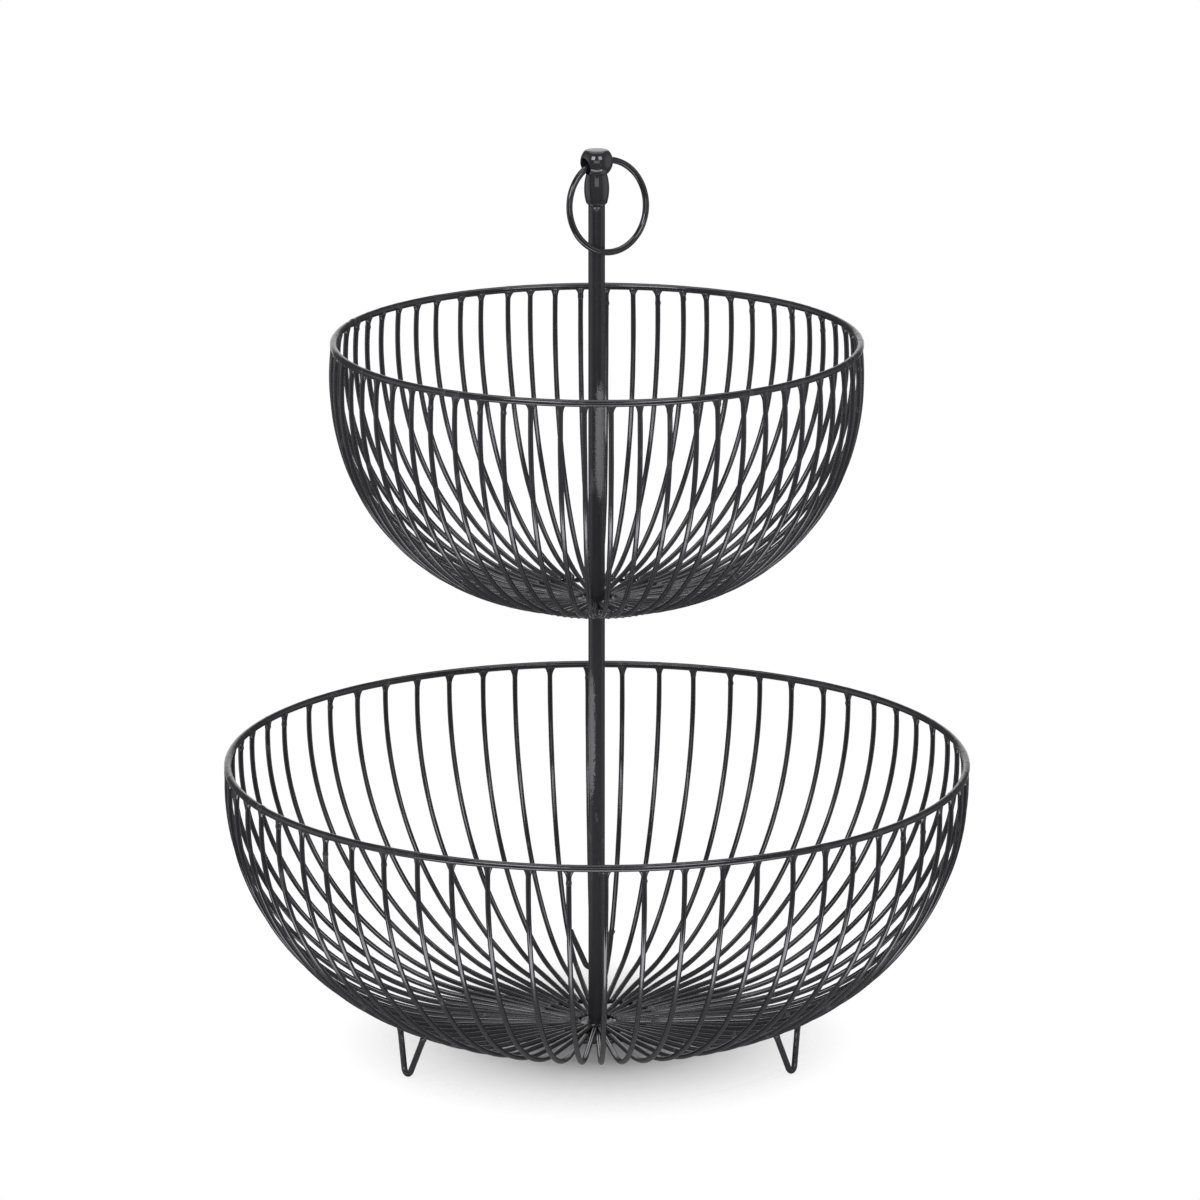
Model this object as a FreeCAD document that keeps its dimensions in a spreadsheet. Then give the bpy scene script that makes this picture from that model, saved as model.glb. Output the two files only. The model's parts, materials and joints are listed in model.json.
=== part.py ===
# Two-tier wire basket: a wide bowl of iron wire on three hairpin feet, a smaller bowl
# above it on a central pole, and a turned finial whose ball holds a loose carrying ring.
# Frame: millimetres, +Z up, origin on the floor under the pole, front of the basket at -Y.
# Each bowl is a rim, long and short ribs that hang from it, a hoop under the ribs and a
# plate under the ends of the long ribs. A screw and two studs hold plates, pole and finial.

import FreeCAD
import Part
import Sketcher
import math
import os
import re

doc = FreeCAD.newDocument("TieredWireBasket")

# Driving sizes

SIZES = [
    ("rim_wire", 3.25, "thickness of the rim wire"),
    ("rib_wire", 2.3, "thickness of the rib wire"),
    ("hoop_wire", 1.9, "thickness of the hoop wire"),
    ("braze_gap", 0.05, "joint gap between brazed pieces"),
    ("rib_count", 62, "ribs in each bowl, every second one long"),
    ("rib_gap", 0.15, "gap between neighbouring long ribs at their inner ends"),
    ("rib_seat", 3.25, "length of the long ribs that lies on the plate"),
    ("bend_split", 20, "degrees from upright where wall bend meets floor bend"),
    ("lower_rim_radius", 178.4, "middle of the wire of the lower rim from the axis"),
    ("lower_depth", 131.4, "lower rim above the inner ends of its long ribs"),
    ("lower_edge", 70, "where the straight run of the lower ribs ends"),
    ("lower_dish", 5, "slope in degrees of the straight run of the lower ribs"),
    ("lower_lean", 3.7, "inward lean in degrees of the lower ribs at the rim"),
    ("lower_hoop_radius", 32, "middle of the wire of the lower hoop from the axis"),
    ("lower_tail", 4.5, "how far the lower short ribs reach in past the middle of their hoop"),
    ("lower_turn", 0, "turn in degrees of the lower ribs from straight back"),
    ("floor_height", 8.8, "inner ends of the lower long ribs above the floor"),
    ("upper_rim_radius", 125.5, "middle of the wire of the upper rim from the axis"),
    ("upper_depth", 125.9, "upper rim above the inner ends of its long ribs"),
    ("upper_edge", 35.5, "where the straight run of the upper ribs ends"),
    ("upper_dish", 6, "slope in degrees of the straight run of the upper ribs"),
    ("upper_lean", 7, "inward lean in degrees of the upper ribs at the rim"),
    ("upper_hoop_radius", 35, "middle of the wire of the upper hoop from the axis"),
    ("upper_tail", 2, "how far the upper short ribs reach in past the middle of their hoop"),
    ("upper_turn", 2, "turn in degrees of the upper ribs from straight back"),
    ("tier_rise", 212.9, "inner ends of the upper long ribs above those of the lower ones"),
    ("foot_wire", 2.9, "thickness of the foot wire"),
    ("foot_radius", 109, "middle of the feet on the floor from the axis"),
    ("foot_bend", 3.2, "bend radius of the hairpin"),
    ("foot_splay", 8, "outward splay of the feet in degrees"),
    ("back_foot_rib", 0, "rib over the back foot, counted from the back rib"),
    ("left_foot_rib", 21, "rib over the left foot"),
    ("right_foot_rib", 41, "rib over the right foot"),
    ("plate_thick", 2, "thickness of the plates"),
    ("plate_chamfer", 0.4, "broken edge of the plates"),
    ("plate_gap", 0.2, "clearance round stud and screw in the plates"),
    ("pole_radius", 4, "radius of the pole"),
    ("pole_chamfer", 0.4, "broken edge of the pole's ends"),
    ("pole_above", 66.9, "top of the pole above the upper rim"),
    ("thread_radius", 2.5, "radius of the tapped holes"),
    ("thread_gap", 0.06, "thread clearance at studs and screw"),
    ("thread_spare", 2, "room left at the end of each tapped hole"),
    ("stud_reach", 10, "how far studs and screw go into the pole"),
    ("stud_chamfer", 0.5, "broken edge of the stud and screw ends"),
    ("screw_head_radius", 4.75, "radius of the head of the base screw"),
    ("screw_head_height", 2.75, "height of the head of the base screw"),
    ("screw_crown", 5.6, "radius of the domed side of that head"),
    ("screw_face", 2.6, "radius of the flat middle of that head"),
    ("slot_width", 1.2, "width of the driver slot"),
    ("slot_depth", 1.4, "depth of the driver slot"),
    ("collar_lip", 1.5, "height of the flared lip under the collar"),
    ("collar_edge", 5.15, "radius of the collar above that lip"),
    ("collar_height", 15.1, "height of the collar with its lip"),
    ("collar_bulge", 25, "radius of the barrel curve of the collar"),
    ("finial_reach", 8.5, "how far the stud goes into the finial"),
    ("ball_radius", 7.8, "radius of the ball"),
    ("ball_neck", 5, "radius where the ball meets the collar"),
    ("ball_flat", 5.5, "radius of the flat on top of the ball"),
    ("bore_drop", 1.8, "cross bore below the middle of the ball"),
    ("bore_turn", 33, "direction of the cross bore in degrees from +X"),
    ("bore_gap", 0.52, "clearance of the ring wire in the cross bore"),
    ("ring_radius", 21.9, "middle of the wire of the carrying ring"),
    ("ring_wire", 2.9, "thickness of the ring wire"),
    ("ring_shift", 4.5, "how far the ring hangs out to one side of the bore"),
    ("ring_rest_gap", 0.33, "clearance of the resting ring to the pole"),
]

sheet = doc.addObject("Spreadsheet::Sheet", "Sizes")
for row, (alias, amount, meaning) in enumerate(SIZES, start=1):
    sheet.set("A%d" % row, meaning)
    sheet.set("B%d" % row, str(amount))
    sheet.setAlias("B%d" % row, alias)
doc.recompute()

FULL_TURN = 360
HALF_TURN = 180
QUARTER_TURN = 90
HALF_SHARE = 0.5
SEAT_STEPS = 12
_, START, END, CENTRE = range(4)
LEVEL_AXIS = -1
UPRIGHT_AXIS = -2
ORIGIN = (-1, START)
UP = FreeCAD.Vector(0, 0, 1)
ACROSS = FreeCAD.Vector(1, 0, 0)
ALIASES = {alias for alias, amount, meaning in SIZES}
pieces = []


def value(formula):
    """Value of a formula over the names in the sheet."""
    return float(sheet.evalExpression(formula))


def angle(formula):
    """Value of an angle in the sheet, in radians."""
    return math.radians(value(formula))


def bound(formula):
    """The same formula as an object outside the sheet has to write it."""
    def in_sheet(word):
        return "Sizes." + word.group() if word.group() in ALIASES else word.group()
    return re.sub("[a-z_]+", in_sheet, formula)


def turned_by(degrees):
    """Placement that turns a piece about the axis of the basket."""
    return FreeCAD.Placement(FreeCAD.Vector(), FreeCAD.Rotation(UP, degrees))


# Helpers for bodies and sketches


def keep(piece, name):
    """Give a piece its name and note it for export."""
    piece.Label = name
    pieces.append(piece)
    return piece


def new_body(name):
    """Empty body that may hold several separate solids."""
    body = doc.addObject("PartDesign::Body", name)
    body.AllowCompound = True
    return keep(body, name)


def datum(body, role):
    """Plane or axis of a body's own origin."""
    return next(item for item in body.Origin.OriginFeatures if item.Role == role)


def new_sketch(body, name, role):
    """Sketch on one of the body's origin planes."""
    sketch = body.newObject("Sketcher::SketchObject", name)
    sketch.AttachmentSupport = [(datum(body, role), "")]
    sketch.MapMode = "FlatFace"
    return sketch


def constrain(sketch, kind, *places):
    """Geometric constraint."""
    sketch.addConstraint(Sketcher.Constraint(kind, *places))


def dimension(sketch, kind, places, formula):
    """Dimensional constraint driven by a formula over the sheet."""
    index = sketch.addConstraint(Sketcher.Constraint(kind, *places, value(formula)))
    sketch.setExpression("Constraints[%d]" % index, bound(formula))


def pin_point(sketch, edge, end, across, up):
    """Fix one point of an edge at two driven distances from the sketch origin."""
    for kind, axis, formula in (("DistanceX", UPRIGHT_AXIS, across), ("DistanceY", LEVEL_AXIS, up)):
        if formula == "0":
            constrain(sketch, "PointOnObject", edge, end, axis)
        else:
            dimension(sketch, kind, ORIGIN + (edge, end), formula)


def arc_between(start, end, radius):
    """Arc of the given radius that bulges to the right of the way from start to end."""
    chord = end - start
    left = FreeCAD.Vector(-chord.y, chord.x, 0).normalize()
    depth = math.sqrt(radius ** 2 - (chord.Length * HALF_SHARE) ** 2)
    centre = (start + end) * HALF_SHARE + left * depth
    first = math.atan2(start.y - centre.y, start.x - centre.x)
    last = math.atan2(end.y - centre.y, end.x - centre.x)
    return Part.ArcOfCircle(Part.Circle(centre, UP, radius), first, last)


def outline(sketch, corners):
    """Closed outline: each corner is (across, up), and a third entry bends the edge after it."""
    places = [FreeCAD.Vector(value(corner[0]), value(corner[1]), 0) for corner in corners]
    for index, corner in enumerate(corners):
        start = places[index]
        end = places[(index + 1) % len(places)]
        if len(corner) == 2:
            sketch.addGeometry(Part.LineSegment(start, end), False)
        else:
            sketch.addGeometry(arc_between(start, end, value(corner[2])), False)
    for index, corner in enumerate(corners):
        constrain(sketch, "Coincident", index, END, (index + 1) % len(corners), START)
        pin_point(sketch, index, START, corner[0], corner[1])
        if len(corner) > 2:
            dimension(sketch, "Radius", (index,), corner[2])


def wire_section(sketch, wire, up):
    """Round wire section on the sketch's upright axis."""
    centre = FreeCAD.Vector(0, value(up), 0)
    circle = sketch.addGeometry(Part.Circle(centre, UP, value(wire) * HALF_SHARE), False)
    pin_point(sketch, circle, CENTRE, "0", up)
    dimension(sketch, "Diameter", (circle,), wire)


def turned(name, corners):
    """Turned piece: an outline beside the axis, revolved about it."""
    body = new_body(name)
    sketch = new_sketch(body, name + "_outline", "XZ_Plane")
    outline(sketch, corners)
    revolution = body.newObject("PartDesign::Revolution", name + "_turning")
    revolution.Profile = sketch
    revolution.ReferenceAxis = (datum(body, "Z_Axis"), [""])
    revolution.Angle = FULL_TURN
    doc.recompute()
    return body


def bent_wire(body, name, section, path):
    """Wire of one section along a path of lines and arcs."""
    wire = body.newObject("PartDesign::AdditivePipe", name)
    wire.Profile = section
    wire.Spine = (path, ["Edge%d" % (number + 1) for number in range(path.GeometryCount)])
    doc.recompute()
    return wire


def pocketed(body, name, sketch, length, **settings):
    """Cut a sketch out of a body and make sure that it takes material away."""
    before = body.Shape.Volume
    pocket = body.newObject("PartDesign::Pocket", name)
    pocket.Profile = sketch
    pocket.setExpression("Length", bound(length))
    for key, setting in settings.items():
        setattr(pocket, key, setting)
    doc.recompute()
    if not body.Shape.Volume < before:
        raise RuntimeError(name + " cuts nothing")


def round_hoop(name, radius, height, wire):
    """Closed wire hoop lying level."""
    hoop = doc.addObject("Part::Torus", name)
    hoop.setExpression("Radius1", bound(radius))
    hoop.setExpression("Radius2", bound(wire + " / 2"))
    hoop.setExpression("Placement.Base.z", bound(height))
    return keep(hoop, name)


# Lines of the two bowls, as formulas

RIB_PITCH = FULL_TURN / value("rib_count")
HUB = {"lower": "floor_height", "upper": "(floor_height + tier_rise)"}
LONG_END = "(rib_count / 2 * (rib_wire + rib_gap) / (2 * pi))"
PLATE_RADIUS = "(%s + rib_seat)" % LONG_END
PLATE_HOLE = "(thread_radius + plate_gap)"


def rim_height(tier):
    """Height of the middle of a rim's wire."""
    return "(%s + %s_depth)" % (HUB[tier], tier)


def rib_top(tier):
    """Height of the upper end of a rib, just under its rim."""
    return "(%s - rim_wire / 2 - braze_gap)" % rim_height(tier)


def under_ribs(tier):
    """Height just under the inner ends of the ribs: the upper face of the plate."""
    return "(%s - rib_wire / 2 / cos(%s_dish) - braze_gap)" % (HUB[tier], tier)


def under_plate(tier):
    """Height of the lower face of a plate."""
    return "(%s - plate_thick)" % under_ribs(tier)


def on_straight(tier, radius):
    """Height of the middle of the ribs' straight run at a radius."""
    return "(%s + (%s - %s) * tan(%s_dish))" % (HUB[tier], radius, LONG_END, tier)


def bends(tier):
    """Radii of wall bend and floor bend that lead a rib from the rim to its straight run."""
    edge = tier + "_edge"
    drop = "(%s - %s)" % (rib_top(tier), on_straight(tier, edge))
    run = "(%s_rim_radius - %s)" % (tier, edge)
    wall_drop = "(sin(bend_split) + sin(%s_lean))" % tier
    wall_run = "(cos(%s_lean) - cos(bend_split))" % tier
    floor_drop = "(cos(%s_dish) - sin(bend_split))" % tier
    floor_run = "(cos(bend_split) - sin(%s_dish))" % tier
    both = "(%s * %s - %s * %s)" % (wall_drop, floor_run, floor_drop, wall_run)
    wall = "((%s * %s - %s * %s) / %s)" % (drop, floor_run, run, floor_drop, both)
    floor = "((%s * %s - %s * %s) / %s)" % (run, wall_drop, drop, wall_run, both)
    return wall, floor


def floor_middle(tier):
    """Radius and height of the middle of the floor bend."""
    edge = tier + "_edge"
    floor = bends(tier)[1]
    radius = "(%s - %s * sin(%s_dish))" % (edge, floor, tier)
    height = "(%s + %s * cos(%s_dish))" % (on_straight(tier, edge), floor, tier)
    return radius, height


def below_ribs(tier, radius, offset):
    """Height, at a radius near the floor of a bowl, of a line that far outside the ribs' middle."""
    floor = bends(tier)[1]
    across, up = floor_middle(tier)
    straight = "(%s - %s / cos(%s_dish))" % (on_straight(tier, radius), offset, tier)
    bend = "(%s - sqrt((%s + %s)^2 - (%s - %s)^2))" % (up, floor, offset, radius, across)
    return "(%s > %s_edge ? %s : %s)" % (radius, tier, bend, straight)


# Bowls


def rib_set(name, tier, inner_end, turn):
    """Every second rib of a bowl: straight run, floor bend and wall bend up to the rim."""
    body = new_body(name)
    wall, floor = bends(tier)
    lean = angle(tier + "_lean")
    dish = angle(tier + "_dish")
    split = angle("bend_split")
    inner_height = below_ribs(tier, inner_end, "0")
    inner = FreeCAD.Vector(value(inner_end), value(inner_height), 0)
    edge = FreeCAD.Vector(value(tier + "_edge"), value(on_straight(tier, tier + "_edge")), 0)
    top = FreeCAD.Vector(value(tier + "_rim_radius"), value(rib_top(tier)), 0)
    wall_middle = top - FreeCAD.Vector(math.cos(lean), math.sin(lean), 0) * value(wall)
    wall_circle = Part.Circle(wall_middle, UP, value(wall))
    across, up = floor_middle(tier)
    bend_middle = FreeCAD.Vector(value(across), value(up), 0)
    floor_circle = Part.Circle(bend_middle, UP, value(floor))
    rise = max(dish, math.asin((inner.x - bend_middle.x) / value(floor)))

    path = new_sketch(body, name + "_path", "XZ_Plane")
    if rise == dish:
        path.addGeometry(Part.LineSegment(inner, edge), False)
    first = rise - math.radians(QUARTER_TURN)
    path.addGeometry(Part.ArcOfCircle(floor_circle, first, -split), False)
    last = path.addGeometry(Part.ArcOfCircle(wall_circle, -split, lean), False)
    for number in range(last):
        constrain(path, "Tangent", number, END, number + 1, START)
    pin_point(path, 0, START, inner_end, inner_height)
    if rise == dish:
        climb = "(%s_edge - %s) * tan(%s_dish)" % (tier, inner_end, tier)
        dimension(path, "DistanceY", (0, START, 0, END), climb)
    pin_point(path, last, END, tier + "_rim_radius", rib_top(tier))
    dimension(path, "Radius", (last,), wall)
    dimension(path, "DistanceY", (last, CENTRE, last, END), "%s * sin(%s_lean)" % (wall, tier))
    dimension(path, "DistanceY", (last, START, last, CENTRE), wall + " * sin(bend_split)")

    section = new_sketch(body, name + "_section", "YZ_Plane")
    square_on = FreeCAD.Rotation(ACROSS, -math.degrees(rise))
    section.AttachmentOffset = FreeCAD.Placement(FreeCAD.Vector(), square_on)
    section.setExpression("AttachmentOffset.Base.y", bound(inner_height))
    section.setExpression("AttachmentOffset.Base.z", bound(inner_end))
    wire_section(section, "rib_wire", "0")
    doc.recompute()

    rib = bent_wire(body, name + "_rib", section, path)
    ring_of_ribs = body.newObject("PartDesign::PolarPattern", name + "_all")
    ring_of_ribs.Originals = [rib]
    ring_of_ribs.Axis = (datum(body, "Z_Axis"), [""])
    ring_of_ribs.Angle = FULL_TURN
    ring_of_ribs.setExpression("Occurrences", bound("rib_count / 2"))
    body.Tip = ring_of_ribs
    body.Placement = turned_by(turn)
    doc.recompute()


def bowl(tier):
    """Rim, long and short ribs, hoop and plate of one bowl."""
    round_hoop(tier + "_rim", tier + "_rim_radius", rim_height(tier), "rim_wire")
    back = QUARTER_TURN + value(tier + "_turn")
    rib_set(tier + "_long_ribs", tier, LONG_END, back)
    hoop_radius = tier + "_hoop_radius"
    short_end = "(%s - %s_tail)" % (hoop_radius, tier)
    rib_set(tier + "_short_ribs", tier, short_end, back + RIB_PITCH)
    outside = "(rib_wire / 2 + braze_gap + hoop_wire / 2)"
    hoop_height = below_ribs(tier, hoop_radius, outside)
    round_hoop(tier + "_hoop", hoop_radius, hoop_height, "hoop_wire")
    top = under_ribs(tier)
    bottom = under_plate(tier)
    edge = PLATE_RADIUS + " - plate_chamfer"
    turned(tier + "_hub_plate", [
        (PLATE_HOLE, bottom),
        (edge, bottom),
        (PLATE_RADIUS, bottom + " + plate_chamfer"),
        (PLATE_RADIUS, top + " - plate_chamfer"),
        (edge, top),
        (PLATE_HOLE, top),
    ])


bowl("lower")
bowl("upper")

# Feet


def leg_seat():
    """Where a leg's tip meets the underside of its rib: sideways, up the splayed plane, slope."""
    floor = value(bends("lower")[1])
    across, up = (value(place) for place in floor_middle("lower"))
    pitch = math.radians(RIB_PITCH)
    splay = angle("foot_splay")
    leg = value("foot_wire / 2")
    rib = value("rib_wire / 2")
    bend = value("foot_bend")
    along = value("floor_height")
    slope = 0
    for step in range(SEAT_STEPS):
        radius = value("foot_radius") - along * math.sin(splay)
        rise = math.asin(((radius - leg) / math.cos(pitch) - across) / floor)
        under = up - floor * math.cos(rise) - rib / math.cos(rise)
        tip = under - value("braze_gap") - rib * (1 / math.cos(slope) - 1)
        along = (tip - leg) / math.cos(splay)
        sideways = radius * math.tan(pitch)
        reach = math.hypot(sideways, along - bend)
        slope = math.atan2(sideways, along - bend) - math.asin(bend / reach)
    return sideways, along, slope


def foot(name, rib_number):
    """Hairpin foot: two legs up to two ribs and a round bend on the floor."""
    body = new_body(name)
    sideways, along, slope = leg_seat()
    bend = value("foot_bend")
    splay = FreeCAD.Rotation(ACROSS, -value("foot_splay"))
    stand = FreeCAD.Vector(0, value("foot_wire / 2"), value("foot_radius"))
    plane = FreeCAD.Placement(stand, splay)

    path = new_sketch(body, name + "_path", "YZ_Plane")
    path.AttachmentOffset = plane
    middle = FreeCAD.Vector(0, bend, 0)
    legs = []
    for side in (-1, 1):
        tip = FreeCAD.Vector(side * sideways, along, 0)
        away = FreeCAD.Vector(side * math.cos(slope), -math.sin(slope), 0)
        legs.append(path.addGeometry(Part.LineSegment(tip, middle + away * bend), False))
    half = math.radians(HALF_TURN)
    arc = Part.ArcOfCircle(Part.Circle(middle, UP, bend), half + slope, half + half - slope)
    hairpin = path.addGeometry(arc, False)
    for leg, end in zip(legs, (START, END)):
        constrain(path, "Tangent", leg, END, hairpin, end)
    pin_point(path, hairpin, CENTRE, "0", "foot_bend")
    dimension(path, "Radius", (hairpin,), "foot_bend")
    left, right = legs
    constrain(path, "Symmetric", left, START, right, START, UPRIGHT_AXIS)
    constrain(path, "DistanceX", left, START, right, START, sideways + sideways)
    constrain(path, "DistanceY", *ORIGIN, right, START, along)

    section = new_sketch(body, name + "_section", "YZ_Plane")
    down_leg = FreeCAD.Rotation(UP, math.degrees(slope)) * FreeCAD.Rotation(ACROSS, QUARTER_TURN)
    left_tip = FreeCAD.Vector(-sideways, along, 0)
    section.AttachmentOffset = plane * FreeCAD.Placement(left_tip, down_leg)
    wire_section(section, "foot_wire", "0")
    doc.recompute()
    bent_wire(body, name + "_wire", section, path)
    back = QUARTER_TURN + value("lower_turn")
    body.Placement = turned_by(back + RIB_PITCH * value(rib_number))
    doc.recompute()


foot("foot_back", "back_foot_rib")
foot("foot_left", "left_foot_rib")
foot("foot_right", "right_foot_rib")

# Pole, studs and base screw

FINIAL_BASE = "(%s + pole_above)" % rim_height("upper")
SHANK = "(thread_radius - thread_gap)"
SHANK_EDGE = "(%s - stud_chamfer)" % SHANK


def pole(name, bottom, top):
    """Round bar with a tapped hole in each end."""
    hole = "(stud_reach + thread_spare)"
    edge = "pole_radius - pole_chamfer"
    turned(name, [
        ("thread_radius", bottom),
        (edge, bottom),
        ("pole_radius", bottom + " + pole_chamfer"),
        ("pole_radius", top + " - pole_chamfer"),
        (edge, top),
        ("thread_radius", top),
        ("thread_radius", "%s - %s" % (top, hole)),
        ("0", "%s - %s" % (top, hole)),
        ("0", "%s + %s" % (bottom, hole)),
        ("thread_radius", "%s + %s" % (bottom, hole)),
    ])


def stud(name, bottom, top):
    """Headless threaded stud with broken edges."""
    turned(name, [
        ("0", bottom),
        (SHANK_EDGE, bottom),
        (SHANK, bottom + " + stud_chamfer"),
        (SHANK, top + " - stud_chamfer"),
        (SHANK_EDGE, top),
        ("0", top),
    ])


def base_screw():
    """Slotted screw that comes up through the lower plate into the pole."""
    seat = under_plate("lower")
    face = seat + " - screw_head_height"
    tip = under_ribs("lower") + " + stud_reach"
    body = turned("base_screw", [
        ("0", face),
        ("screw_face", face, "screw_crown"),
        ("screw_head_radius", seat),
        (SHANK, seat),
        (SHANK, tip + " - stud_chamfer"),
        (SHANK_EDGE, tip),
        ("0", tip),
    ])
    slot = new_sketch(body, "base_screw_slot", "XY_Plane")
    slot.setExpression("AttachmentOffset.Base.z", bound(face))
    reach = value("screw_head_radius")
    half = value("slot_width / 2")
    shares = [(-1, -1), (1, -1), (1, 1), (-1, 1)]
    corners = [FreeCAD.Vector(reach * across, half * up, 0) for across, up in shares]
    for index, start in enumerate(corners):
        following = (index + 1) % len(corners)
        slot.addGeometry(Part.LineSegment(start, corners[following]), False)
    for index in range(len(corners)):
        constrain(slot, "Coincident", index, END, (index + 1) % len(corners), START)
        constrain(slot, ("Horizontal", "Vertical")[index % 2], index)
    constrain(slot, "Symmetric", 0, START, 2, START, *ORIGIN)
    dimension(slot, "DistanceX", (0, START, 0, END), "2 * screw_head_radius")
    dimension(slot, "DistanceY", (1, START, 1, END), "slot_width")
    pocketed(body, "base_screw_slot_cut", slot, "slot_depth", Reversed=True)


pole("lower_pole", under_ribs("lower"), under_plate("upper"))
pole("upper_pole", under_ribs("upper"), FINIAL_BASE)
stud("pole_stud", under_plate("upper") + " - stud_reach", under_ribs("upper") + " + stud_reach")
stud("finial_stud", FINIAL_BASE + " - stud_reach", FINIAL_BASE + " + finial_reach")
base_screw()

# Finial: barrel collar and ball with a cross bore for the ring

COLLAR_TOP = "(%s + collar_height)" % FINIAL_BASE
BALL_MIDDLE = "(%s + sqrt(ball_radius^2 - ball_neck^2))" % COLLAR_TOP
BALL_TOP = "(%s + sqrt(ball_radius^2 - ball_flat^2))" % BALL_MIDDLE
BORE_HEIGHT = "(%s - bore_drop)" % BALL_MIDDLE
LOW_WIRE = "sqrt(ring_radius^2 - (ball_radius + ring_shift)^2)"
RING_DROP = "((ring_radius + %s) / 2)" % LOW_WIRE
BORE_RADIUS = "((ring_radius - %s) / 2 + ring_wire / 2 + bore_gap)" % LOW_WIRE


def finial():
    """Turned collar and ball, tapped from below and bored across."""
    hole = FINIAL_BASE + " + finial_reach + thread_spare"
    body = turned("finial", [
        ("thread_radius", FINIAL_BASE),
        ("pole_radius", FINIAL_BASE),
        ("collar_edge", FINIAL_BASE + " + collar_lip", "collar_bulge"),
        ("ball_neck", COLLAR_TOP, "ball_radius"),
        ("ball_flat", BALL_TOP),
        ("0", BALL_TOP),
        ("0", hole),
        ("thread_radius", hole),
    ])
    bore = new_sketch(body, "finial_bore", "YZ_Plane")
    wire_section(bore, "2 * " + BORE_RADIUS, BORE_HEIGHT)
    pocketed(body, "finial_bore_cut", bore, "2 * ball_radius", Midplane=True)
    body.Placement = turned_by(value("bore_turn"))


def ring():
    """Closed wire ring that hangs in the cross bore and leans on the front of the pole."""
    drop = value(RING_DROP)
    depth = drop + value("sqrt(ring_radius^2 - ring_shift^2)")
    stand_off = value("pole_radius + ring_wire / 2 + ring_rest_gap")
    lean = math.degrees(math.asin(stand_off / depth))
    torus = keep(doc.addObject("Part::Torus", "ring"), "ring")
    torus.setExpression("Radius1", bound("ring_radius"))
    torus.setExpression("Radius2", bound("ring_wire / 2"))
    hinge = FreeCAD.Vector(0, 0, value(BORE_HEIGHT))
    hang = FreeCAD.Vector(value("ring_shift"), 0, -drop)
    torus.Placement = (
        FreeCAD.Placement(hinge, FreeCAD.Rotation(UP, value("bore_turn")))
        * FreeCAD.Placement(FreeCAD.Vector(), FreeCAD.Rotation(ACROSS, -lean))
        * FreeCAD.Placement(hang, FreeCAD.Rotation(ACROSS, QUARTER_TURN))
    )
    print("ring hinge at height %.3f, swing 0 to %.2f degrees" % (hinge.z, FULL_TURN - 2 * lean))


finial()
ring()

# Checks and export

doc.recompute()
for item in doc.Objects:
    if "Invalid" in item.State or "Error" in item.State:
        raise RuntimeError("failed: %s %s" % (item.Label, item.State))
os.makedirs("parts", exist_ok=True)
for piece in pieces:
    shape = piece.Shape
    if shape.isNull() or not shape.isValid() or not shape.Solids:
        raise RuntimeError("no valid solid: " + piece.Label)
    if min(solid.Volume for solid in shape.Solids) <= 0:
        raise RuntimeError("solid inside out: " + piece.Label)
for piece in pieces:
    piece.Shape.exportStep("parts/%s.step" % piece.Label)
    print("%-17s %3d solids, %8.1f mm3" % (piece.Label, len(piece.Shape.Solids), piece.Shape.Volume))
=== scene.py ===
import json
import math

import bpy
import numpy as np
from bpy.props import FloatProperty, FloatVectorProperty, IntProperty, PointerProperty
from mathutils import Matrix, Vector


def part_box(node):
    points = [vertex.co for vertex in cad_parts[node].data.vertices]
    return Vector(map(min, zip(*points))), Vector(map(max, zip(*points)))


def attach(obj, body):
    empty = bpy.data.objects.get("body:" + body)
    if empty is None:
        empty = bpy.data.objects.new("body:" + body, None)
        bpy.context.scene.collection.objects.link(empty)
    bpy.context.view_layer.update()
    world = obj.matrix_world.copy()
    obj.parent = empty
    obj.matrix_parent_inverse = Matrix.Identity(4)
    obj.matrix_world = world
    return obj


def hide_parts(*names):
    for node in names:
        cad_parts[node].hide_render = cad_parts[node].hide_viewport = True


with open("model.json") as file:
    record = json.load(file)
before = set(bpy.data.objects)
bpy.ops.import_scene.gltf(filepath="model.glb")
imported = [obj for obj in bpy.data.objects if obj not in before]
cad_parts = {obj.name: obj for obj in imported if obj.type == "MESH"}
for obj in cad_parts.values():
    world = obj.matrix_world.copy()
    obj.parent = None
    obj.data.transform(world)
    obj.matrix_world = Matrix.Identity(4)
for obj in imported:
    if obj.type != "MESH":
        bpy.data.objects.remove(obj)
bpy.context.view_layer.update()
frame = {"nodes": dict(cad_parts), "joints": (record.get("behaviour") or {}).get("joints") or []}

bl_info = {
    "name": "Tiered Wire Basket",
    "version": (1, 0, 0),
    "blender": (4, 5, 0),
    "location": "View3D > Sidebar > Basket",
    "description": "Dresses the packed frame of a two-tier wire basket in painted iron wire",
    "category": "Object",
}

STAND = "stand"
RING = "ring"
TIERS = ("lower", "upper")
HINGE = frame["joints"][0]
UP = np.array((0, 0, 1))
MM = 0.001
TURN = 2 * math.pi
SEEDS = {"lower": 11, "upper": 23}

# Steps along each shape and round its section

RIM_STEPS, RIM_SIDES = 900, 16
STEM_STEPS, GUSSET_STEPS, RIB_SIDES = 50, 16, 14
HOOP_STEPS, HOOP_SIDES = 512, 12
HUB_ROWS, HUB_SIDES, HUB_LUMPS = 40, 416, 130
LEG_STEPS, BEND_STEPS, FOOT_SIDES = 30, 16, 14
SHAFT_STEPS, POLE_SIDES = 90, 48
LIP_STEPS, BARREL_STEPS, BALL_STEPS, FINIAL_SIDES = 6, 24, 40, 96
BORE_STEPS, BORE_SIDES = 53, 48
RING_STEPS, RING_SIDES = 240, 18

# Small lengths of braze, edges and uneven wire

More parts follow.
